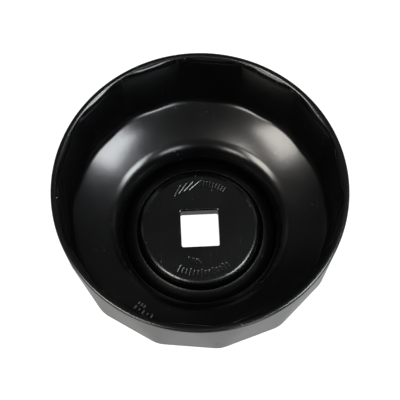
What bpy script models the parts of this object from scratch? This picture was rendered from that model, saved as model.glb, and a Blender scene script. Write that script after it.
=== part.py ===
"""Cap-type oil filter wrench: a fluted cup, a drive plate and the weld between them.

Metres, +Z up towards the open mouth. The origin is the centre of the hub's flat
underside, and the sides of the drive square lie along X and Y.
"""
import math

import bmesh
import bpy

MM = 0.001

# Flutes: a soft polygon that grips the flats of a filter canister
FLUTES = 14
HALF_FLUTE = math.pi / FLUTES
FLUTE_PHASE = math.radians(18.5)
ANGLES_FROM_CORNER = (0.0, 1.6, 5.0)

# Cup, pressed from one sheet and drawn a little thinner round the shoulder's bend
SHEET = 2.0 * MM
BEND_SHEET = 1.7 * MM
RIM_RADIUS = 35.95 * MM
RIM_HEIGHT = 34.8 * MM
RIM_ROUND = 0.7 * MM
MOUTH_ROUND = 0.7 * MM
MOUTH_APOTHEM = 33.6 * MM
MOUTH_CORNER = 1.5 * MM
BASE_APOTHEM = 32.3 * MM
BASE_CORNER = 16.0 * MM
OUTER_BASE_CORNER = 7.0 * MM
WALL_END_HEIGHT = 15.8 * MM
SHOULDER_BEND = 2.8 * MM
SHOULDER_OUTER_SLOPE = math.radians(32)
SHOULDER_INNER_SLOPE = math.radians(21)
SHOULDER_SAG = 0.19 * MM
BEND_FADE = 0.6
LIP_BEND = 6.0 * MM
LIP_HEIGHT = 4.0 * MM
WELL_RADIUS = 19.7 * MM
HUB_EDGE_ROUND = 3.0 * MM
GROOVE_ROUND = 0.5 * MM
HUB_HOLE_RADIUS = 8.0 * MM
HUB_HOLE_CHAMFER = 0.3 * MM

# Drive plate, standing on the hub floor
CONTACT_GAP = 0.3 * MM
PLATE_RADIUS = 16.0 * MM
PLATE_THICKNESS = 3.6 * MM
PLATE_EDGE_ROUND = 2.0 * MM
PLATE_EDGE_STEPS = 4
PLATE_SEGMENTS = 72
SQUARE_WIDTH = 9.7 * MM
SQUARE_CORNER_ROUND = 0.5 * MM
SQUARE_CORNER_STEPS = 3
SQUARE_EDGE_CHAMFER = 0.25 * MM

# Fillet weld round the foot of the plate
WELD_LEG = 2.5 * MM
WELD_BULGE = 0.1 * MM
WELD_SEGMENTS = 72

ARC_STEPS = 5
LIP_STEPS = 7
RIM_STEPS = 3
MOUTH_STEPS = 2
WALL_SHARES = (0.25, 0.5, 0.75)
MERGE_DISTANCE = 0.01 * MM

# Shading: edges that turn more than this stay sharp, in degrees
PRESSED_SHARP = 35
WELD_SHARP = 50


def fluted_radius(apothem, corner, angle):
    """Distance from the axis to a polygon with rounded corners, in one direction."""
    if corner >= apothem:
        return apothem
    past_corner = (angle - FLUTE_PHASE) % (2 * HALF_FLUTE)
    from_corner = min(past_corner, 2 * HALF_FLUTE - past_corner)
    from_flat = HALF_FLUTE - from_corner
    flat_end = math.atan2((apothem - corner) * math.tan(HALF_FLUTE), apothem)
    if from_flat <= flat_end:
        return apothem / math.cos(from_flat)
    reach = (apothem - corner) / math.cos(HALF_FLUTE)
    side = reach * math.sin(from_corner)
    return reach * math.cos(from_corner) + math.sqrt(corner ** 2 - side ** 2)


def flute_angles():
    """Azimuths of the cup's points: closer together beside each corner."""
    angles = []
    for flute in range(FLUTES):
        corner_angle = FLUTE_PHASE + 2 * HALF_FLUTE * flute
        for degrees in ANGLES_FROM_CORNER:
            angles.append(corner_angle + math.radians(degrees))
        angles.append(corner_angle + HALF_FLUTE)
        for degrees in reversed(ANGLES_FROM_CORNER[1:]):
            angles.append(corner_angle + 2 * HALF_FLUTE - math.radians(degrees))
    return angles


def even_angles(count):
    """Azimuths spread evenly round the circle."""
    return [2 * math.pi * step / count for step in range(count)]


def mix(start, end, share):
    """The value at share of the way from start to end."""
    return start + (end - start) * share


def arc(centre_radius, centre_height, bend, start, end, steps=ARC_STEPS):
    """Profile points (radius, height) on an arc; angles from +radius towards +Z."""
    points = []
    for step in range(steps + 1):
        angle = mix(start, end, step / steps)
        radius = centre_radius + bend * math.cos(angle)
        points.append((radius, centre_height + bend * math.sin(angle)))
    return points


def round_stations(points):
    """Stations with a circular outline."""
    return [(radius, radius, height) for radius, height in points]


def fading_stations(points, corner, start, end):
    """Stations whose corner radius grows from start to end of the way to a circle."""
    stations = []
    for index, (radius, height) in enumerate(points):
        share = mix(start, end, index / (len(points) - 1))
        stations.append((radius, mix(corner, radius, share), height))
    return stations


def underside_stations():
    """From the hub's hole across its flat base and up under the shoulder."""
    quarter = math.pi / 2
    hub_outer = WELL_RADIUS + SHEET
    hub_corner = arc(hub_outer - HUB_EDGE_ROUND, HUB_EDGE_ROUND, HUB_EDGE_ROUND, -quarter, 0)
    lip_inner_bend = LIP_BEND - SHEET
    lip = arc(WELL_RADIUS + LIP_BEND, LIP_HEIGHT, lip_inner_bend,
              math.pi, quarter + SHOULDER_INNER_SLOPE)
    hole = [(HUB_HOLE_RADIUS, HUB_HOLE_CHAMFER), (HUB_HOLE_RADIUS + HUB_HOLE_CHAMFER, 0.0)]
    return round_stations(hole + hub_corner + lip)


def outer_wall_stations():
    """Round the shoulder's bend and up the wall, where the flutes fade out to a circle."""
    bend = SHOULDER_BEND + BEND_SHEET
    bend_centre = BASE_APOTHEM - SHOULDER_BEND
    corner_bend = arc(bend_centre, WALL_END_HEIGHT, bend,
                      SHOULDER_OUTER_SLOPE - math.pi / 2, 0)
    stations = fading_stations(corner_bend, OUTER_BASE_CORNER, BEND_FADE, 0.0)
    wall_base = bend_centre + bend
    wide_height = RIM_HEIGHT - RIM_ROUND
    for share in WALL_SHARES:
        apothem = mix(wall_base, RIM_RADIUS, share)
        corner = mix(OUTER_BASE_CORNER, RIM_RADIUS, share)
        stations.append((apothem, corner, mix(WALL_END_HEIGHT, wide_height, share)))
    rim = arc(RIM_RADIUS - RIM_ROUND, wide_height, RIM_ROUND, 0, math.pi / 2, RIM_STEPS)
    return stations + round_stations(rim)


def shoulder_middle():
    """Half-way down the shoulder, a little under the straight line: it is dished."""
    tilt = math.pi / 2 - SHOULDER_OUTER_SLOPE
    outer_radius = BASE_APOTHEM - SHOULDER_BEND * (1 - math.cos(tilt))
    outer_height = WALL_END_HEIGHT - SHOULDER_BEND * math.sin(tilt)
    inner_radius = WELL_RADIUS + LIP_BEND * (1 - math.sin(SHOULDER_INNER_SLOPE))
    inner_height = LIP_HEIGHT + LIP_BEND * math.cos(SHOULDER_INNER_SLOPE)
    radius = mix(outer_radius, inner_radius, 0.5)
    return radius, mix(outer_height, inner_height, 0.5) - SHOULDER_SAG


def inner_wall_stations():
    """Over the mouth's inner edge and down the fluted wall to the shoulder."""
    mouth_height = RIM_HEIGHT - MOUTH_ROUND
    mouth = arc(MOUTH_APOTHEM + MOUTH_ROUND, mouth_height, MOUTH_ROUND,
                math.pi / 2, math.pi, MOUTH_STEPS)
    stations = [(radius, MOUTH_CORNER, height) for radius, height in mouth]
    for share in WALL_SHARES:
        # the wall stands almost upright at the mouth and draws in faster towards the base
        apothem = mix(MOUTH_APOTHEM, BASE_APOTHEM, share ** 2)
        corner = mix(MOUTH_CORNER, BASE_CORNER, share ** 2)
        stations.append((apothem, corner, mix(mouth_height, WALL_END_HEIGHT, share)))
    bend = arc(BASE_APOTHEM - SHOULDER_BEND, WALL_END_HEIGHT, SHOULDER_BEND,
               0, SHOULDER_OUTER_SLOPE - math.pi / 2)
    return stations + fading_stations(bend, BASE_CORNER, 0.0, BEND_FADE)


def well_stations():
    """Over the lip, down the hub well, across its floor and back to the hole."""
    lip = arc(WELL_RADIUS + LIP_BEND, LIP_HEIGHT, LIP_BEND,
              math.pi / 2 + SHOULDER_INNER_SLOPE, math.pi, LIP_STEPS)
    groove = arc(WELL_RADIUS - GROOVE_ROUND, SHEET + GROOVE_ROUND, GROOVE_ROUND,
                 0, -math.pi / 2, RIM_STEPS)
    return round_stations([shoulder_middle()] + lip + groove + [(HUB_HOLE_RADIUS, SHEET)])


def loft(name, stations, angles):
    """A closed ring-shaped solid: one loop of points for each station, joined by quads."""
    model = bmesh.new()
    loops = []
    for apothem, corner, height in stations:
        loop = []
        for angle in angles:
            radius = fluted_radius(apothem, corner, angle)
            loop.append(model.verts.new((radius * math.cos(angle), radius * math.sin(angle), height)))
        loops.append(loop)
    for index, loop in enumerate(loops):
        following = loops[(index + 1) % len(loops)]
        for spot in range(len(angles)):
            beside = (spot + 1) % len(angles)
            model.faces.new((loop[spot], loop[beside], following[beside], following[spot]))
    bmesh.ops.remove_doubles(model, verts=model.verts, dist=MERGE_DISTANCE)
    bmesh.ops.recalc_face_normals(model, faces=model.faces)
    return add_object(name, model)


def add_object(name, model):
    """Put a bmesh in the scene as a named object."""
    mesh = bpy.data.meshes.new(name)
    model.to_mesh(mesh)
    model.free()
    piece = bpy.data.objects.new(name, mesh)
    bpy.context.collection.objects.link(piece)
    return piece


def shade(piece, sharp_angle):
    """Smooth shading that breaks at edges sharper than the given angle."""
    piece.data.shade_smooth()
    piece.data.set_sharp_from_angle(angle=math.radians(sharp_angle))


def enamel(name, colour, roughness):
    """Black baked enamel over steel."""
    material = bpy.data.materials.new(name)
    material.use_nodes = True
    shader = material.node_tree.nodes["Principled BSDF"]
    shader.inputs["Base Color"].default_value = (*colour, 1.0)
    shader.inputs["Roughness"].default_value = roughness
    shader.inputs["Metallic"].default_value = 0.0
    return material


def make_cup():
    """The fluted cup with its shoulder, lip and hub well, one pressing."""
    stations = underside_stations() + outer_wall_stations()
    stations += inner_wall_stations() + well_stations()
    cup = loft("fluted_cup", stations, flute_angles())
    shade(cup, PRESSED_SHARP)
    cup.data.materials.append(enamel("cup_enamel", (0.012, 0.012, 0.013), 0.28))
    return cup


def make_square_cutter(centre_height):
    """A square bar with rounded corners, longer than the plate is thick."""
    model = bmesh.new()
    bmesh.ops.create_cube(model, size=1.0)
    length = 3 * PLATE_THICKNESS
    bmesh.ops.scale(model, vec=(SQUARE_WIDTH, SQUARE_WIDTH, length), verts=model.verts)
    uprights = []
    for edge in model.edges:
        first, second = edge.verts
        if abs(first.co.z - second.co.z) > length / 2:
            uprights.append(edge)
    bmesh.ops.bevel(model, geom=uprights, offset=SQUARE_CORNER_ROUND, offset_type="OFFSET",
                    segments=SQUARE_CORNER_STEPS, profile=0.5, affect="EDGES")
    cutter = add_object("square_cutter", model)
    cutter.location.z = centre_height
    cutter.hide_render = True
    cutter.display_type = "WIRE"
    return cutter


def make_plate():
    """The round plate with the drive square through it and a rounded upper edge."""
    model = bmesh.new()
    bmesh.ops.create_cone(model, cap_ends=True, segments=PLATE_SEGMENTS, radius1=PLATE_RADIUS,
                          radius2=PLATE_RADIUS, depth=PLATE_THICKNESS)
    upper = [edge for edge in model.edges if edge.verts[0].co.z > 0 and edge.verts[1].co.z > 0]
    bmesh.ops.bevel(model, geom=upper, offset=PLATE_EDGE_ROUND, offset_type="OFFSET",
                    segments=PLATE_EDGE_STEPS, profile=0.5, affect="EDGES")
    plate = add_object("drive_plate", model)
    plate.location.z = SHEET + CONTACT_GAP + PLATE_THICKNESS / 2
    cut = plate.modifiers.new("drive_square", "BOOLEAN")
    cut.operation = "DIFFERENCE"
    cut.object = make_square_cutter(plate.location.z)
    edge_break = plate.modifiers.new("square_edges", "BEVEL")
    edge_break.width = SQUARE_EDGE_CHAMFER
    edge_break.segments = 1
    edge_break.limit_method = "ANGLE"
    edge_break.angle_limit = math.radians(60)
    shade(plate, PRESSED_SHARP)
    plate.data.materials.append(enamel("plate_enamel", (0.014, 0.014, 0.015), 0.34))
    return plate


def make_weld():
    """A slightly bulged fillet weld between the plate's foot and the hub floor."""
    foot_radius = PLATE_RADIUS + CONTACT_GAP
    foot_height = SHEET + CONTACT_GAP
    face = []
    for step in range(ARC_STEPS + 1):
        share = step / ARC_STEPS
        bulge = WELD_BULGE * math.sin(math.pi * share) * math.sqrt(2)
        out = WELD_LEG * (1 - share) + bulge
        face.append((foot_radius + out, foot_height + WELD_LEG * share + bulge))
    profile = [(foot_radius, foot_height)] + face
    weld = loft("weld_bead", round_stations(profile), even_angles(WELD_SEGMENTS))
    shade(weld, WELD_SHARP)
    weld.data.materials.append(enamel("weld_enamel", (0.011, 0.011, 0.012), 0.36))
    return weld


for old in list(bpy.data.objects):
    bpy.data.objects.remove(old)

make_cup()
make_plate()
make_weld()
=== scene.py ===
import math
import bpy
import numpy as np
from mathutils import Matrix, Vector


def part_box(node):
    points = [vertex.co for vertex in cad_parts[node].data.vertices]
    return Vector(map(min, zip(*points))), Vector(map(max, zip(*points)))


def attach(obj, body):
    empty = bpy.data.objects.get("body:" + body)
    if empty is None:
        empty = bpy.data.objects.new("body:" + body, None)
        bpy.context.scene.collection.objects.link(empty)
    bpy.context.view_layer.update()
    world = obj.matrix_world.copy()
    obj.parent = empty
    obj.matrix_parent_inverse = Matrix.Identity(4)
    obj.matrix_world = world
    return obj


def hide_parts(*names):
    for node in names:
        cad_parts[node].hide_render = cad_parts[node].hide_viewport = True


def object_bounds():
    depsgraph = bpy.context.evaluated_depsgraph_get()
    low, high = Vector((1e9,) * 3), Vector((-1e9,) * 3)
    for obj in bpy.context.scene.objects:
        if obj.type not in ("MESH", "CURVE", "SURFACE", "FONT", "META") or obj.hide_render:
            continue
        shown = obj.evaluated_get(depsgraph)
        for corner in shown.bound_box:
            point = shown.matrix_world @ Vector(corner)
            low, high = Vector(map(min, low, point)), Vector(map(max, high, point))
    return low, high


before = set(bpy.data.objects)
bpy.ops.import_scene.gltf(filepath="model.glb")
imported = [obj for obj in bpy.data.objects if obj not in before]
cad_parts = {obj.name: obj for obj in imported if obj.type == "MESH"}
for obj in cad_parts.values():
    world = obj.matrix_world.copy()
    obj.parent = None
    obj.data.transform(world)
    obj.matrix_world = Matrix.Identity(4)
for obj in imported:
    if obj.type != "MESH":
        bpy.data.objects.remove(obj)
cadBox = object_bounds()
print("frame loaded:", ", ".join(sorted(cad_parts)))

mm = 0.001
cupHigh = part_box("fluted_cup")[1]
plateLow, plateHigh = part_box("drive_plate")
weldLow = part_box("weld_bead")[0]


def polygonRadius(apothem, corner, angle, sides, phase):
    # distance from the axis to a regular polygon with rounded corners, in the direction angle:
    # on a flat it is apothem / cos(angle off the flat's middle); past the flat's end the point
    # is on the corner's circle, whose centre is (apothem - corner) / cos(half a side) out
    half = math.pi / sides
    pastCorner = np.mod(angle - phase, 2 * half)
    fromCorner = np.minimum(pastCorner, 2 * half - pastCorner)
    fromFlat = half - fromCorner
    corner = np.minimum(corner, apothem)
    flatEnd = np.arctan2((apothem - corner) * math.tan(half), apothem)
    reach = (apothem - corner) / math.cos(half)
    side = reach * np.sin(fromCorner)
    onCorner = reach * np.cos(fromCorner) + np.sqrt(np.maximum(corner ** 2 - side ** 2, 0))
    return np.where(fromFlat <= flatEnd, apothem / np.cos(fromFlat), onCorner)


def arcPoints(centreRadius, centreHeight, bend, start, end, steps):
    # profile points (radius, height) at equal turns of an arc, from start to end
    turn = np.linspace(start, end, steps + 1)
    return np.column_stack((centreRadius + bend * np.cos(turn), centreHeight + bend * np.sin(turn)))


def linePoints(first, last, steps):
    # points strictly between two profile points
    share = np.linspace(0, 1, steps + 2)[1:-1, None]
    return np.array(first) * (1 - share) + np.array(last) * share


def dishPoints(first, firstSlope, last, lastSlope, steps):
    # points strictly between two profile points on the parabola that leaves and meets them at
    # the two slopes; its control point is where the two tangents cross
    run, drop = first[0] - last[0], first[1] - last[1]
    inward = (drop - run * math.tan(lastSlope)) / (math.tan(firstSlope) - math.tan(lastSlope))
    control = np.array((first[0] - inward, first[1] - inward * math.tan(firstSlope)))
    share = np.linspace(0, 1, steps + 2)[1:-1, None]
    return ((1 - share) ** 2 * np.array(first) + 2 * share * (1 - share) * control
            + share ** 2 * np.array(last))


def smoothStep(low, high, value):
    # 0 below low, 1 above high and 3t^2 - 2t^3 between
    share = np.clip((value - low) / (high - low), 0, 1)
    return share * share * (3 - 2 * share)


def gridMesh(name, points):
    # a grid that closes both ways: cell (i, j) joins rows i and i + 1 to columns j and j + 1,
    # and the last row and column are followed by the first
    rows, columns = points.shape[:2]
    here = np.arange(rows * columns).reshape(rows, columns)
    beside = np.roll(here, -1, axis=1)
    after, afterBeside = np.roll(here, -1, axis=0), np.roll(beside, -1, axis=0)
    quads = np.stack((here, beside, afterBeside, after), axis=-1).reshape(-1, 4)
    return meshFrom(name, points.reshape(-1, 3), quads)


def meshFrom(name, points, quads):
    # each face and the origin hold a volume of a.(b x c) + a.(c x d), over 6; the sum is
    # negative on an inside-out shape, which is then turned round
    a, b, c = points[quads[:, 0]], points[quads[:, 1]], points[quads[:, 2]]
    d = points[quads[:, 3]]
    volume = np.einsum("ij,ij->i", a, np.cross(b, c)) + np.einsum("ij,ij->i", a, np.cross(c, d))
    if volume.sum() < 0:
        quads = quads[:, ::-1]
    mesh = bpy.data.meshes.new(name)
    mesh.vertices.add(len(points))
    mesh.vertices.foreach_set("co", points.astype(np.float32).ravel())
    mesh.loops.add(quads.size)
    mesh.loops.foreach_set("vertex_index", quads.astype(np.int32).ravel())
    mesh.polygons.add(len(quads))
    mesh.polygons.foreach_set("loop_start", np.arange(0, quads.size, 4, dtype=np.int32))
    mesh.polygons.foreach_set("use_smooth", np.ones(len(quads), dtype=bool))
    mesh.update(calc_edges=True)
    mesh.validate()
    piece = bpy.data.objects.new(name, mesh)
    bpy.context.scene.collection.objects.link(piece)
    return piece


def storeMask(piece, name, values):
    # one number for each point of the mesh, which the material reads by name
    layer = piece.data.attributes.new(name, "FLOAT", "POINT")
    layer.data.foreach_set("value", np.ascontiguousarray(values, dtype=np.float32).ravel())


def turnedGrid(apothem, corner, height, angle, sides, phase):
    # each station (apothem, corner, height) goes round the axis as a polygon's outline
    radius = polygonRadius(apothem[:, None], corner[:, None], angle[None, :], sides, phase)
    rise = np.broadcast_to(height[:, None], radius.shape)
    return np.stack((radius * np.cos(angle), radius * np.sin(angle), rise), axis=-1)


cup = {
    "flutes": 14,
    "flutePhase": math.radians(18.5),
    "pointsPerFlute": 24,
    "sheet": 2.0 * mm,
    "bendSheet": 1.7 * mm,
    "rimRound": 0.5 * mm,
    "mouthWidth": 1.5 * mm,
    "mouthDepth": 1.9 * mm,
    "mouthApothem": 33.6 * mm,
    "mouthCorner": 1.5 * mm,
    "baseApothem": 32.3 * mm,
    "baseCorner": 20.0 * mm,
    "outerBaseCorner": 7.0 * mm,
    "wallEnd": 15.8 * mm,
    "shoulderBend": 2.8 * mm,
    "outerSlope": math.radians(36.0),
    "innerSlope": math.radians(22.0),
    "lipBend": 6.0 * mm,
    "lipHeight": 4.0 * mm,
    "wellRadius": 19.7 * mm,
    "hubEdgeRound": 3.0 * mm,
    "grooveRound": 0.5 * mm,
    "holeRadius": 8.0 * mm,
    "holeChamfer": 0.3 * mm,
    # how much each edge has been rubbed, from 0 to 1
    "rubs": {"hole": 0.8, "hubEdge": 0.5, "shoulder": 0.35, "rim": 1.0, "mouth": 0.5},
    # stations along each stretch of the profile
    "chamferSteps": 4,
    "hubSteps": 10,
    "bendSteps": 14,
    "underSteps": 12,
    "wallSteps": 26,
    "rimSteps": 10,
    "mouthSteps": 17,
    "fluteSteps": 28,
    "filletSteps": 16,
    "lipSteps": 30,
    "grooveSteps": 10,
    "floorSteps": 8,
    # the flutes fade into the shoulder's circle over the fillet and this many stations more
    "fadeStations": 5,
}


def cupProfile():
    # stations from the hub's hole out under the cup, up the wall, over the rim and back inside;
    # each is (apothem, corner radius, height, rubbed), and an infinite corner means a circle
    quarter = math.pi / 2
    outerSlope, innerSlope = cup["outerSlope"], cup["innerSlope"]
    rimTop = cupHigh[2]
    rimRadius = min(cupHigh[0], cupHigh[1])
    hubOuter = cup["wellRadius"] + cup["sheet"]
    lipCentre = cup["wellRadius"] + cup["lipBend"]
    bendCentre = cup["baseApothem"] - cup["shoulderBend"]
    stations = []

    def add(points, corners, rubbed=0.0):
        corners = np.broadcast_to(corners, len(points))
        rubbed = np.broadcast_to(rubbed, len(points))
        stations.append(np.column_stack((points[:, 0], corners, points[:, 1], rubbed)))

    rubs = cup["rubs"]
    hole = cup["holeRadius"]
    chamfer = cup["holeChamfer"]
    add(arcPoints(hole + chamfer, chamfer, chamfer, math.pi, 1.5 * math.pi,
                  cup["chamferSteps"]), np.inf, rubs["hole"])
    hubFlat = hubOuter - cup["hubEdgeRound"]
    add(linePoints((hole + chamfer, 0), (hubFlat, 0), cup["hubSteps"]), np.inf)
    edge = arcPoints(hubFlat, cup["hubEdgeRound"], cup["hubEdgeRound"], -quarter, 0,
                     cup["bendSteps"])
    add(edge, np.inf, rubs["hubEdge"] * np.sin(np.linspace(0, math.pi, len(edge))))
    lipUnder = cup["lipBend"] - cup["sheet"]
    add(arcPoints(lipCentre, cup["lipHeight"], lipUnder, math.pi, quarter + innerSlope,
                  cup["bendSteps"]), np.inf)
    outerBend = cup["shoulderBend"] + cup["bendSheet"]
    bend = arcPoints(bendCentre, cup["wallEnd"], outerBend, outerSlope - quarter, 0,
                     cup["bendSteps"])
    under = linePoints(stations[-1][-1, [0, 2]], bend[0], cup["underSteps"])
    # under the shoulder a circle turns into the flutes: corner radius / share of the way out
    add(under, cup["outerBaseCorner"] / np.linspace(0.004, 1, len(under)))
    add(bend, cup["outerBaseCorner"], rubs["shoulder"])

    # outer wall: the soft corners widen with height until the outline is the rim's circle
    wide = rimTop - cup["rimRound"]
    rise = np.linspace(0, 1, cup["wallSteps"])[1:]
    wallBase = bendCentre + outerBend
    apothem = wallBase + (rimRadius - wallBase) * rise
    corner = cup["outerBaseCorner"] + (rimRadius - cup["outerBaseCorner"]) * rise
    add(np.column_stack((apothem, cup["wallEnd"] + (wide - cup["wallEnd"]) * rise)), corner)
    rim = arcPoints(rimRadius - cup["rimRound"], wide, cup["rimRound"], 0, quarter,
                    cup["rimSteps"])
    add(rim[1:], np.inf, rubs["rim"])

    # the mouth's edge rolls in from a circle to the fluted outline, which then narrows
    # downwards as the square of the depth
    mouth = rimTop - cup["mouthDepth"]
    roll = np.linspace(quarter, math.pi, cup["mouthSteps"])
    apothem = cup["mouthApothem"] + cup["mouthWidth"] * (1 + np.cos(roll))
    sharp = smoothStep(quarter, math.pi, roll)
    corner = apothem + (cup["mouthCorner"] - apothem) * sharp
    add(np.column_stack((apothem, mouth + cup["mouthDepth"] * np.sin(roll))), corner,
        rubs["mouth"])
    fall = np.linspace(0, 1, cup["fluteSteps"])[1:]
    apothem = cup["mouthApothem"] + (cup["baseApothem"] - cup["mouthApothem"]) * fall ** 2
    corner = cup["mouthCorner"] + (cup["baseCorner"] - cup["mouthCorner"]) * fall ** 2
    add(np.column_stack((apothem, mouth + (cup["wallEnd"] - mouth) * fall)), corner)
    fillet = arcPoints(bendCentre, cup["wallEnd"], cup["shoulderBend"], 0, outerSlope - quarter,
                       cup["filletSteps"])[1:]
    lip = arcPoints(lipCentre, cup["lipHeight"], cup["lipBend"], quarter + innerSlope, math.pi,
                    cup["lipSteps"])
    shoulder = dishPoints(fillet[-1], outerSlope, lip[0], innerSlope, cup["fluteSteps"])
    sloping = np.vstack((fillet, shoulder))
    fade = smoothStep(0, len(fillet) + cup["fadeStations"], np.arange(len(sloping)))
    add(sloping, cup["baseCorner"] + (sloping[:, 0] - cup["baseCorner"]) * fade)
    add(lip, np.inf)
    groove = arcPoints(cup["wellRadius"] - cup["grooveRound"], cup["sheet"] + cup["grooveRound"],
                       cup["grooveRound"], 0, -quarter, cup["grooveSteps"])
    add(groove, np.inf)
    add(linePoints(groove[-1], (hole + chamfer, cup["sheet"]), cup["floorSteps"]), np.inf)
    add(arcPoints(hole + chamfer, cup["sheet"] - chamfer, chamfer, quarter, math.pi,
                  cup["chamferSteps"]), np.inf)
    return np.vstack(stations)


def makeCup():
    # the profile's stations carried round the axis: (r cos a, r sin a, height), with r from
    # polygonRadius
    profile = cupProfile()
    apothem, corner, height, rubbed = profile.T
    corner = np.minimum(corner, apothem)
    # angles crowd towards the flutes' corners: half a flute times the sine of an even share
    half = math.pi / cup["flutes"]
    share = np.linspace(-1, 1, cup["pointsPerFlute"], endpoint=False)
    offset = half * np.sin(share * math.pi / 2)
    middle = cup["flutePhase"] + half + 2 * half * np.arange(cup["flutes"])
    angle = (middle[:, None] + offset[None, :]).ravel()
    points = turnedGrid(apothem, corner, height, angle, cup["flutes"], cup["flutePhase"])
    piece = gridMesh("pressedCup", points)
    storeMask(piece, "rubbed", np.repeat(rubbed, len(angle)))
    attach(piece, "root")
    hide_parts("fluted_cup")
    return piece


plate = {
    "edgeRound": 2.0 * mm,
    "footChamfer": 0.3 * mm,
    "square": 9.7 * mm,
    "squareCorner": 0.5 * mm,
    "squareRound": 0.45 * mm,
    "points": 600,
    "faceRings": 104,
    "stampDepth": 0.05 * mm,
    "stampWidth": 0.34 * mm,
    "rubs": {"edge": 0.55, "square": 0.9},
    # rows of index marks: radius in mm, first and last azimuth, count, lengths in mm, lean
    "markRows": [(12.2, 86, 56, 9, (1.6, 1.1, 1.1), 0),
                 (11.6, 117, 94, 4, (3.4,), -55),
                 (12.2, 242, 303, 14, (1.9, 1.2, 1.2), 0),
                 (9.0, 252, 266, 3, (1.6,), 40)],
    "edgeSteps": 14,
    "squareSteps": 8,
    "chamferSteps": 3,
    "backRings": 6,
}


def markRow(radius, first, last, count, lengths, lean):
    # short strokes side by side on an arc, each about its middle point; lengths are used in
    # turn, and lean turns each stroke away from the radius
    azimuth = np.radians(np.linspace(first, last, count))
    length = np.resize(np.array(lengths), count)[:, None] * mm
    middle = np.column_stack((np.cos(azimuth), np.sin(azimuth))) * radius * mm
    azimuth = azimuth + math.radians(lean)
    way = np.column_stack((np.cos(azimuth), np.sin(azimuth)))
    return np.hstack((middle - way * length / 2, middle + way * length / 2))


def strokeDepth(x, y, strokes, width):
    # 1 within a quarter of a width of a stroke's middle line, falling smoothly to 0 at three
    # quarters; x and y are arrays, and each point takes its deepest stroke
    depth = np.zeros_like(x)
    for x0, y0, x1, y1 in strokes:
        dx, dy = x1 - x0, y1 - y0
        along = np.clip(((x - x0) * dx + (y - y0) * dy) / (dx * dx + dy * dy), 0, 1)
        away = np.hypot(x - x0 - along * dx, y - y0 - along * dy)
        depth = np.maximum(depth, 1 - smoothStep(0.25 * width, 0.75 * width, away))
    return depth


def makePlate():
    # stations run up the outside, in over the face to the square, down through it and back;
    # across the face and the back, radius = circle (1 - share) + square share
    quarter = math.pi / 2
    outer = min(plateHigh[0], plateHigh[1])
    low, high = plateLow[2], plateHigh[2]
    half = plate["square"] / 2
    foot, edge, roll = plate["footChamfer"], plate["edgeRound"], plate["squareRound"]
    rim = np.vstack((
        arcPoints(outer - foot, low + foot, foot, -quarter, 0, plate["chamferSteps"]),
        arcPoints(outer - edge, high - edge, edge, 0, quarter, plate["edgeSteps"])))
    hole = np.vstack((
        arcPoints(half + roll, high - roll, roll, quarter, math.pi, plate["squareSteps"]),
        linePoints((half, high - roll), (half, low + foot), plate["squareSteps"]),
        arcPoints(half + foot, low + foot, foot, math.pi, 1.5 * math.pi,
                  plate["chamferSteps"])))
    angle = np.linspace(0, 2 * math.pi, plate["points"], endpoint=False)
    circleRadius = np.broadcast_to(rim[:, :1], (len(rim), len(angle)))
    grow = hole[:, :1] - half
    squareRadius = polygonRadius(half + grow, plate["squareCorner"] + grow, angle[None, :], 4,
                                 math.pi / 4)
    share = np.linspace(0, 1, plate["faceRings"] + 2)[1:-1, None]
    faceRadius = circleRadius[-1] * (1 - share) + squareRadius[0] * share
    backShare = np.linspace(0, 1, plate["backRings"] + 2)[1:-1, None]
    backRadius = squareRadius[-1] * (1 - backShare) + circleRadius[0] * backShare
    radius = np.vstack((circleRadius, faceRadius, squareRadius, backRadius))
    height = np.concatenate((rim[:, 1], np.full(len(faceRadius), high), hole[:, 1],
                             np.full(len(backRadius), low)))
    x, y = radius * np.cos(angle), radius * np.sin(angle)
    z = np.broadcast_to(height[:, None], x.shape).copy()
    faceRows = slice(len(rim) - 1, len(rim) + len(faceRadius) + 1)
    strokes = np.vstack([markRow(*row) for row in plate["markRows"]])
    pressed = strokeDepth(x[faceRows], y[faceRows], strokes, plate["stampWidth"])
    z[faceRows] -= plate["stampDepth"] * pressed
    piece = gridMesh("platePressing", np.stack((x, y, z), axis=-1))
    rubbed = np.zeros(x.shape)
    faceEnd = len(rim) + len(faceRadius)
    rubbed[plate["chamferSteps"] + 1:len(rim)] = plate["rubs"]["edge"]
    rubbed[faceEnd - 1:faceEnd + plate["squareSteps"] + 1] = plate["rubs"]["square"]
    storeMask(piece, "rubbed", rubbed)
    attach(piece, "root")
    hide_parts("drive_plate")
    return piece


weld = {
    "ripples": 84,
    "rippleHeight": 0.012 * mm,
    "wander": 0.08 * mm,
    "flatten": 0.9 * mm,
    "plateGap": 0.3 * mm,
    "wallGap": 0.2 * mm,
    "bulge": 1.5,  # 2 is a straight face and 1 a quarter circle
    # painted shade: a low specular level that keeps the groove dark
    "shadeSpecular": 0.2,
    "points": 1008,
    "sectionPoints": 22,
}


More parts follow.
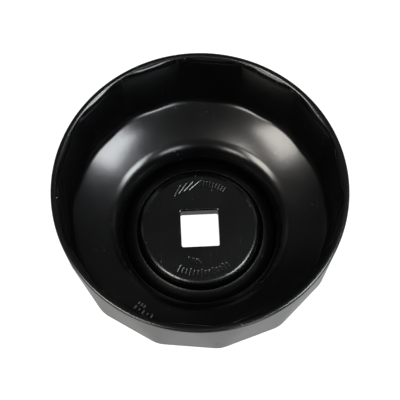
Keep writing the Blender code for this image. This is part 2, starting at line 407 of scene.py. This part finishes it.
def makeWeld():
    # a bulged triangle carried round the axis; its leg swells with |sin| ripples and slow waves
    inner = max(plateHigh[0], plateHigh[1]) + weld["plateGap"]
    low = weldLow[2]
    leg = cup["wellRadius"] - weld["wallGap"] - inner
    angle = np.linspace(0, 2 * math.pi, weld["points"], endpoint=False)
    ripple = np.abs(np.sin(angle * weld["ripples"] / 2)) - 0.5
    slow = 0.6 * np.sin(3 * angle + 0.4) + 0.4 * np.sin(7 * angle + 1.9)
    size = leg - weld["wander"] + weld["rippleHeight"] * ripple + 0.5 * weld["wander"] * slow
    turn = np.linspace(0, math.pi / 2, weld["sectionPoints"])[:, None]
    # the face is (size cos^bulge, height sin^bulge), a little rounder than a straight line
    out = size * np.cos(turn) ** weld["bulge"]
    up = (size - weld["flatten"]) * np.sin(turn) ** weld["bulge"]
    corner = np.zeros((1, len(angle)))
    radius = inner + np.vstack((corner, out, corner))
    rise = low + np.vstack((corner, up, corner + size * 0.5))
    points = np.stack((radius * np.cos(angle), radius * np.sin(angle), rise), axis=-1)
    piece = gridMesh("weldRipples", points)
    storeMask(piece, "rubbed", np.zeros(points.shape[:2]))
    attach(piece, "root")
    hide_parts("weld_bead")
    return piece


shoulderMarks = {
    "azimuth": math.radians(239.0),
    "radius": 28.2 * mm,
    "width": 0.42 * mm,
    "height": 0.26 * mm,
    "endSwell": 0.02,
    "rubbed": 0.4,
    "alongPoints": 14,
    "roundPoints": 12,
    # each mark: where its middle is, round and down the shoulder, and its length, in mm
    "marks": [(-3.4, 2.3, 1.1), (-2.5, 2.3, 1.1), (-1.6, 2.3, 1.1), (-3.4, 0.4, 1.5),
              (-2.2, 0.4, 0.8), (-1.0, 0.4, 1.5), (0.2, 0.4, 0.8), (1.4, 0.4, 1.5),
              (2.8, -1.5, 1.2), (1.8, -1.5, 1.2), (0.8, -1.5, 1.2)],
}


def shoulderLine():
    # the shoulder's parabola between the fillet's end and the lip's start
    outer, inner = cup["outerSlope"], cup["innerSlope"]
    first = (cup["baseApothem"] - cup["shoulderBend"] * (1 - math.sin(outer)),
             cup["wallEnd"] - cup["shoulderBend"] * math.cos(outer))
    last = (cup["wellRadius"] + cup["lipBend"] * (1 - math.sin(inner)),
            cup["lipHeight"] + cup["lipBend"] * math.cos(inner))
    return dishPoints(first, outer, last, inner, 40)


def shoulderPoint(across, down, lift):
    # a point on the shoulder: across runs round the axis, down runs towards the hub, and lift
    # stands off the surface along its normal, (-sin tilt, cos tilt) in the profile
    profile = shoulderLine()
    reach = shoulderMarks["radius"] - down * math.cos(cup["outerSlope"])
    level = np.interp(reach, profile[::-1, 0], profile[::-1, 1])
    tilt = np.arctan(np.interp(reach, profile[::-1, 0],
                               (np.gradient(profile[:, 1]) / np.gradient(profile[:, 0]))[::-1]))
    radius = reach - lift * np.sin(tilt)
    height = level + lift * np.cos(tilt)
    azimuth = shoulderMarks["azimuth"] + across / shoulderMarks["radius"]
    return np.stack((radius * np.cos(azimuth), radius * np.sin(azimuth), height), axis=-1)


def makeShoulderMarks():
    # every mark is a flattened tube whose radius falls as sqrt(1 - (2 share - 1)^6) to its ends
    place = np.array(shoulderMarks["marks"]) * mm
    along = np.linspace(0, 1, shoulderMarks["alongPoints"])
    turn = np.linspace(0, 2 * math.pi, shoulderMarks["roundPoints"], endpoint=False)
    swell = np.sqrt(np.clip(1 - (2 * along - 1) ** 6, 0, 1))
    swell[0] = swell[-1] = shoulderMarks["endSwell"]
    tubes = []
    for acrossMiddle, downMiddle, length in place:
        across = acrossMiddle + swell[:, None] * shoulderMarks["width"] / 2 * np.cos(turn)
        down = downMiddle + (along[:, None] - 0.5) * length + 0 * turn
        lift = swell[:, None] * shoulderMarks["height"] * np.sin(turn)
        tubes.append(shoulderPoint(across, down, lift))
    count, columns = len(along), len(turn)
    number = np.arange(count * columns).reshape(count, columns)
    beside = np.roll(number, -1, axis=1)
    side = np.stack((number[:-1], beside[:-1], beside[1:], number[1:]), axis=-1).reshape(-1, 4)
    # the tiny hole left at each end is closed by a ladder of quads across it
    rung = np.arange(columns // 2 - 1)
    cap = np.stack((rung, rung + 1, columns - 2 - rung, columns - 1 - rung), axis=-1)
    tube = np.vstack((side, cap[:, ::-1], cap + (count - 1) * columns))
    quads = np.vstack([tube + index * number.size for index in range(len(tubes))])
    piece = meshFrom("shoulderMarks", np.concatenate(tubes).reshape(-1, 3), quads)
    storeMask(piece, "rubbed", np.full(len(tubes) * number.size, shoulderMarks["rubbed"]))
    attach(piece, "root")
    return piece


def newGroup(name, inputs, outputs):
    # an empty shader node group with named sockets
    group = bpy.data.node_groups.new(name, "ShaderNodeTree")
    for label, kind, value in inputs:
        socket = group.interface.new_socket(label, in_out="INPUT", socket_type=kind)
        if value is not None:
            socket.default_value = value
    for label, kind in outputs:
        group.interface.new_socket(label, in_out="OUTPUT", socket_type=kind)
    start = group.nodes.new("NodeGroupInput")
    end = group.nodes.new("NodeGroupOutput")
    start.location, end.location = (-900, 0), (600, 0)
    return group, start, end


def mathNode(group, operation, first, second):
    # first (operation) second, where each is a socket or a number
    node = group.nodes.new("ShaderNodeMath")
    node.operation = operation
    for slot, value in enumerate((first, second)):
        if isinstance(value, bpy.types.NodeSocket):
            group.links.new(value, node.inputs[slot])
        else:
            node.inputs[slot].default_value = value
    return node.outputs[0]


def noiseNode(group, vector, scale, detail, rough=0.5):
    # fractal noise, about 0.5 on average, at scale cells a metre
    node = group.nodes.new("ShaderNodeTexNoise")
    node.inputs["Detail"].default_value = detail
    node.inputs["Roughness"].default_value = rough
    if isinstance(scale, bpy.types.NodeSocket):
        group.links.new(scale, node.inputs["Scale"])
    else:
        node.inputs["Scale"].default_value = scale
    group.links.new(vector, node.inputs["Vector"])
    return node.outputs["Fac"]


def rampNode(group, value, low, high):
    # 0 below low, 1 above high, smooth between
    node = group.nodes.new("ShaderNodeMapRange")
    node.interpolation_type = "SMOOTHSTEP"
    node.inputs["From Min"].default_value = low
    node.inputs["From Max"].default_value = high
    group.links.new(value, node.inputs["Value"])
    return node.outputs["Result"]


# scales are in cells a metre; each pair of numbers is where a mask starts and is full
grain = {
    "fineTimes": 3.1,
    "fineShare": 0.3,
    "patchScale": 90.0,
    "wearScale": 420.0,
    "wearRough": 0.65,
    "wearPush": 0.4,
    "wearCut": (0.76, 0.82),
    "dustScale": 2600.0,
    "dustCut": (0.775, 0.815),
    "dustPatchScale": 120.0,
    "dustPatchCut": (0.48, 0.62),
    "scratchStretch": (1500.0, 18.0, 60.0),
    "scratchCut": (0.67, 0.72),
    "scratchPatchScale": 160.0,
    "scratchPatchCut": (0.5, 0.7),
}


def orangePeelGroup():
    # the soft ripple that sprayed enamel dries with: noise + a share of a finer noise
    group, start, end = newGroup("orangePeel", [("Scale", "NodeSocketFloat", 700.0)],
                                 [("Height", "NodeSocketFloat"), ("Patches", "NodeSocketFloat")])
    place = group.nodes.new("ShaderNodeTexCoord").outputs["Object"]
    wide = noiseNode(group, place, start.outputs["Scale"], 1.0)
    fineScale = mathNode(group, "MULTIPLY", start.outputs["Scale"], grain["fineTimes"])
    fine = mathNode(group, "MULTIPLY", noiseNode(group, place, fineScale, 2.0),
                    grain["fineShare"])
    group.links.new(mathNode(group, "ADD", wide, fine), end.inputs["Height"])
    group.links.new(noiseNode(group, place, grain["patchScale"], 3.0), end.inputs["Patches"])
    return group


def edgeWearGroup():
    # rubbed x (1 where noise + push x amount passes a threshold)
    group, start, end = newGroup("edgeWear", [("Rubbed", "NodeSocketFloat", 0.0),
                                              ("Amount", "NodeSocketFloat", 0.3)],
                                 [("Mask", "NodeSocketFloat")])
    place = group.nodes.new("ShaderNodeTexCoord").outputs["Object"]
    broken = noiseNode(group, place, grain["wearScale"], 5.0, grain["wearRough"])
    push = mathNode(group, "MULTIPLY", start.outputs["Amount"], grain["wearPush"])
    worn = rampNode(group, mathNode(group, "ADD", broken, push), *grain["wearCut"])
    group.links.new(mathNode(group, "MULTIPLY", worn, start.outputs["Rubbed"]),
                    end.inputs["Mask"])
    return group


def dustGroup():
    # a few pale specks: the sharp peaks of a fine noise, kept only inside wide patches
    group, start, end = newGroup("dustSpecks", [("Scale", "NodeSocketFloat", grain["dustScale"])],
                                 [("Mask", "NodeSocketFloat")])
    place = group.nodes.new("ShaderNodeTexCoord").outputs["Object"]
    fine = noiseNode(group, place, start.outputs["Scale"], 1.0)
    wide = noiseNode(group, place, grain["dustPatchScale"], 2.0)
    specks = rampNode(group, fine, *grain["dustCut"])
    patches = rampNode(group, wide, *grain["dustPatchCut"])
    group.links.new(mathNode(group, "MULTIPLY", specks, patches), end.inputs["Mask"])
    return group


def scratchGroup():
    # hair scratches: noise drawn out long one way, thinned to its crests, inside wide patches
    group, start, end = newGroup("hairScratches", [("Turn", "NodeSocketVector", None)],
                                 [("Mask", "NodeSocketFloat")])
    place = group.nodes.new("ShaderNodeTexCoord").outputs["Object"]
    mapping = group.nodes.new("ShaderNodeMapping")
    mapping.inputs["Scale"].default_value = grain["scratchStretch"]
    group.links.new(place, mapping.inputs["Vector"])
    group.links.new(start.outputs["Turn"], mapping.inputs["Rotation"])
    drawn = noiseNode(group, mapping.outputs["Vector"], 1.0, 2.0)
    wide = noiseNode(group, place, grain["scratchPatchScale"], 2.0)
    lines = rampNode(group, drawn, *grain["scratchCut"])
    patches = rampNode(group, wide, *grain["scratchPatchCut"])
    group.links.new(mathNode(group, "MULTIPLY", lines, patches), end.inputs["Mask"])
    return group


effects = {
    "peel": orangePeelGroup(),
    "wear": edgeWearGroup(),
    "dust": dustGroup(),
    "scratch": scratchGroup(),
}


def placeGroup(tree, effect, **values):
    # one of the shared effects, with this material's own values
    node = tree.nodes.new("ShaderNodeGroup")
    node.node_tree = effects[effect]
    for label, value in values.items():
        node.inputs[label].default_value = value
    return node


def mixColour(tree, factor, first, second):
    # first (1 - factor) + second factor
    node = tree.nodes.new("ShaderNodeMix")
    node.data_type = "RGBA"
    tree.links.new(factor, node.inputs["Factor"])
    if isinstance(first, bpy.types.NodeSocket):
        tree.links.new(first, node.inputs["A"])
    else:
        node.inputs["A"].default_value = (*first, 1.0)
    node.inputs["B"].default_value = (*second, 1.0)
    return node.outputs["Result"]


enamels = {
    "undercoat": (0.02, 0.02, 0.021),
    "dust": (0.35, 0.34, 0.32),
    "ior": 1.5,
    "cupEnamel": {"colour": (0.0007, 0.0007, 0.0009), "roughness": 0.21, "peelScale": 650.0,
                  "peelHeight": 0.006 * mm, "wear": 0.25, "scratchTurn": (0.0, 0.0, 0.4)},
    "plateEnamel": {"colour": (0.0007, 0.0007, 0.0009), "roughness": 0.21, "peelScale": 900.0,
                    "peelHeight": 0.006 * mm, "wear": 0.3, "scratchTurn": (0.0, 0.0, 1.2)},
    "weldEnamelWithPaintedShade": {"colour": (0.0007, 0.0007, 0.0009), "roughness": 0.34, "peelScale": 1200.0,
                   "peelHeight": 0.010 * mm, "wear": 0.2, "scratchTurn": (0.3, 0.0, 0.2)},
    # the marks' grey is a painted sheen: far lighter than the black enamel, it stands in for glints
    # on the stamped strokes
    "markEnamelPaintedSheen": {"colour": (0.07, 0.07, 0.072), "roughness": 0.30, "peelScale": 900.0,
                   "peelHeight": 0.006 * mm, "wear": 0.4, "scratchTurn": (0.0, 0.0, 0.4)},
    "patchiness": 0.10,
    "scratchRough": 0.12,
    "wornRough": 0.25,
    "scratchDepth": 0.002 * mm,
}


def blackEnamel(name):
    # colour goes from enamel to undercoat where it is rubbed, and to dust on the specks;
    # roughness = base + patchiness (patches - 0.5) + a share of the scratches and of the wear
    look = enamels[name]
    material = bpy.data.materials.new(name)
    material.use_nodes = True
    tree = material.node_tree
    shader = tree.nodes["Principled BSDF"]
    peel = placeGroup(tree, "peel", Scale=look["peelScale"])
    worn = placeGroup(tree, "wear", Amount=look["wear"])
    dust = placeGroup(tree, "dust")
    scratch = placeGroup(tree, "scratch", Turn=look["scratchTurn"])
    mask = tree.nodes.new("ShaderNodeAttribute")
    mask.attribute_name = "rubbed"
    tree.links.new(mask.outputs["Fac"], worn.inputs["Rubbed"])
    coloured = mixColour(tree, worn.outputs["Mask"], look["colour"], enamels["undercoat"])
    dusted = mixColour(tree, dust.outputs["Mask"], coloured, enamels["dust"])
    tree.links.new(dusted, shader.inputs["Base Color"])
    patchy = mathNode(tree, "MULTIPLY_ADD", peel.outputs["Patches"], enamels["patchiness"])
    patchy.node.inputs[2].default_value = look["roughness"] - enamels["patchiness"] / 2
    rougher = mathNode(tree, "MULTIPLY_ADD", scratch.outputs["Mask"], enamels["scratchRough"])
    tree.links.new(patchy, rougher.node.inputs[2])
    roughest = mathNode(tree, "MULTIPLY_ADD", worn.outputs["Mask"], enamels["wornRough"])
    tree.links.new(rougher, roughest.node.inputs[2])
    tree.links.new(roughest, shader.inputs["Roughness"])
    shader.inputs["IOR"].default_value = enamels["ior"]
    ripple = tree.nodes.new("ShaderNodeBump")
    ripple.inputs["Strength"].default_value = 1.0
    ripple.inputs["Distance"].default_value = look["peelHeight"]
    tree.links.new(peel.outputs["Height"], ripple.inputs["Height"])
    cut = tree.nodes.new("ShaderNodeBump")
    cut.invert = True
    cut.inputs["Strength"].default_value = 0.5
    cut.inputs["Distance"].default_value = enamels["scratchDepth"]
    tree.links.new(scratch.outputs["Mask"], cut.inputs["Height"])
    tree.links.new(ripple.outputs["Normal"], cut.inputs["Normal"])
    tree.links.new(cut.outputs["Normal"], shader.inputs["Normal"])
    return material


cupEnamel = blackEnamel("cupEnamel")
plateEnamel = blackEnamel("plateEnamel")
weldEnamelWithPaintedShade = blackEnamel("weldEnamelWithPaintedShade")
markEnamelPaintedSheen = blackEnamel("markEnamelPaintedSheen")
# painted shade: the bead's reflection is turned down so the groove round the plate stays dark
weldShader = weldEnamelWithPaintedShade.node_tree.nodes["Principled BSDF"]
weldShader.inputs["Specular IOR Level"].default_value = weld["shadeSpecular"]
print("materials ready")

pressedCup = makeCup()
pressedCup.data.materials.append(cupEnamel)
print("cup:", len(pressedCup.data.polygons), "faces")
platePressing = makePlate()
platePressing.data.materials.append(plateEnamel)
print("plate:", len(platePressing.data.polygons), "faces")
weldRipples = makeWeld()
weldRipples.data.materials.append(weldEnamelWithPaintedShade)
print("weld:", len(weldRipples.data.polygons), "faces")
marks = makeShoulderMarks()
# the marks carry a painted sheen, a lighter grey than the enamel round them
marks.data.materials.append(markEnamelPaintedSheen)
print("shoulder marks:", len(marks.data.polygons), "faces")


studio = {
    "floorSize": 60.0,
    "floorGap": 0.02 * mm,
    "floorGlow": 0.38,
    "floorSeen": 1.0,
    "air": (0.108, 0.108, 0.112),
    "darkCorner": (-0.38, 0.86, 0.33),
    "cornerFrom": 0.84,
    "cornerTo": 0.98,
    "cornerDim": 0.25,
    "floorColour": (0.12, 0.12, 0.12),
    "boxDistance": 1.2,
    "warm": (1.0, 0.97, 0.90),
    "cool": (0.93, 0.98, 1.0),
    # each light: direction, colour, width and height in metres at the box distance, radiance
    "lights": {
        "softboxLeft": ((-0.636, -0.292, 0.715), "warm", 0.40, 0.46, 12.5),
        "softboxRight": ((0.660, -0.275, 0.700), "cool", 0.40, 0.46, 15.0),
        "highCardLeft": ((-0.280, -0.125, 0.952), "warm", 0.24, 0.20, 25.0),
        "highCardRight": ((0.310, 0.020, 0.951), "cool", 0.24, 0.20, 25.0),
        "lowCardLeft": ((-0.528, -0.709, 0.469), "warm", 0.34, 0.34, 9.0),
        "lowCardRight": ((0.377, -0.799, 0.469), "cool", 0.34, 0.34, 9.0),
    },
}


def makeFloor():
    # a wide pale sheet just under the hub that glows softly
    half = studio["floorSize"] / 2
    corners = np.array([[-half, -half], [half, -half], [half, half], [-half, half]])
    points = np.column_stack((corners, np.full(4, cadBox[0][2] - studio["floorGap"])))
    mesh = bpy.data.meshes.new("studioFloor")
    mesh.from_pydata(points.tolist(), [], [(0, 1, 2, 3)])
    floor = bpy.data.objects.new("studioFloor", mesh)
    bpy.context.scene.collection.objects.link(floor)
    material = bpy.data.materials.new("glowingFloor")
    material.use_nodes = True
    tree = material.node_tree
    shader = tree.nodes["Principled BSDF"]
    shader.inputs["Base Color"].default_value = (*studio["floorColour"], 1.0)
    shader.inputs["Roughness"].default_value = 0.9
    shader.inputs["Emission Color"].default_value = (1.0, 1.0, 1.0, 1.0)
    sight = tree.nodes.new("ShaderNodeLightPath")
    glow = mathNode(tree, "MULTIPLY_ADD", sight.outputs["Is Camera Ray"],
                    studio["floorSeen"] - studio["floorGlow"])
    glow.node.inputs[2].default_value = studio["floorGlow"]
    tree.links.new(glow, shader.inputs["Emission Strength"])
    # seen from underneath the floor is clear, so the hub's underside shows
    clear = tree.nodes.new("ShaderNodeBsdfTransparent")
    oneSided = tree.nodes.new("ShaderNodeMixShader")
    tree.links.new(tree.nodes.new("ShaderNodeNewGeometry").outputs["Backfacing"],
                   oneSided.inputs[0])
    tree.links.new(shader.outputs["BSDF"], oneSided.inputs[1])
    tree.links.new(clear.outputs["BSDF"], oneSided.inputs[2])
    tree.links.new(oneSided.outputs["Shader"], tree.nodes["Material Output"].inputs["Surface"])
    mesh.materials.append(material)


def makeSoftbox(name, direction, colour, width, height, radiance):
    # an oblong light of a chosen radiance: power = 4 x radiance x width x height
    light = bpy.data.lights.new(name, "AREA")
    light.shape = "RECTANGLE"
    light.size = width
    light.size_y = height
    light.color = colour
    light.energy = radiance * 4 * width * height
    lamp = bpy.data.objects.new(name, light)
    way = Vector(direction).normalized()
    lamp.location = way * studio["boxDistance"]
    lamp.rotation_euler = way.to_track_quat("Z", "Y").to_euler()
    bpy.context.scene.collection.objects.link(lamp)


def makeAir():
    # a dim grey room that is darker in one corner
    world = bpy.data.worlds.new("dimRoom")
    world.use_nodes = True
    tree = world.node_tree
    background = tree.nodes["Background"]
    background.inputs["Color"].default_value = (*studio["air"], 1.0)
    # strength falls as the cosine of the angle to the dark corner goes from one value to another
    towards = tree.nodes.new("ShaderNodeVectorMath")
    towards.operation = "DOT_PRODUCT"
    towards.inputs[1].default_value = Vector(studio["darkCorner"]).normalized()
    tree.links.new(tree.nodes.new("ShaderNodeTexCoord").outputs["Generated"], towards.inputs[0])
    strength = rampNode(tree, towards.outputs["Value"], studio["cornerFrom"], studio["cornerTo"])
    strength.node.inputs["To Min"].default_value = 1.0
    strength.node.inputs["To Max"].default_value = studio["cornerDim"]
    tree.links.new(strength, background.inputs["Strength"])
    bpy.context.scene.world = world


shot = {
    "elevation": math.radians(69.2),
    "turn": math.radians(-2.7),
    "distance": 0.400,
    "lens": 149.85,
    "aimDrop": 2.73 * mm,
}


def makeCamera():
    # the camera looks down at the mouth's centre from distance x (sin turn cos elevation,
    # -cos turn cos elevation, sin elevation), aimed a little low so the cup sits high
    mouth = Vector((0, 0, cupHigh[2] - cup["rimRound"]))
    flat = math.cos(shot["elevation"])
    back = Vector((math.sin(shot["turn"]) * flat, -math.cos(shot["turn"]) * flat,
                   math.sin(shot["elevation"])))
    side = Vector((math.cos(shot["turn"]), math.sin(shot["turn"]), 0))
    above = back.cross(side)
    lens = bpy.data.cameras.new("studioCamera")
    lens.lens = shot["lens"]
    lens.sensor_width = 36.0
    lens.clip_start = 0.01
    camera = bpy.data.objects.new("studioCamera", lens)
    camera.location = mouth + back * shot["distance"]
    aim = mouth - above * shot["aimDrop"] - camera.location
    camera.rotation_euler = aim.to_track_quat("-Z", "Y").to_euler()
    bpy.context.scene.collection.objects.link(camera)
    bpy.context.scene.camera = camera


makeFloor()
for lightName, (way, tint, wide, tall, radiance) in studio["lights"].items():
    makeSoftbox(lightName, way, studio[tint], wide, tall, radiance)
makeAir()
makeCamera()
bpy.context.scene.view_settings.view_transform = "Standard"
print("studio ready")
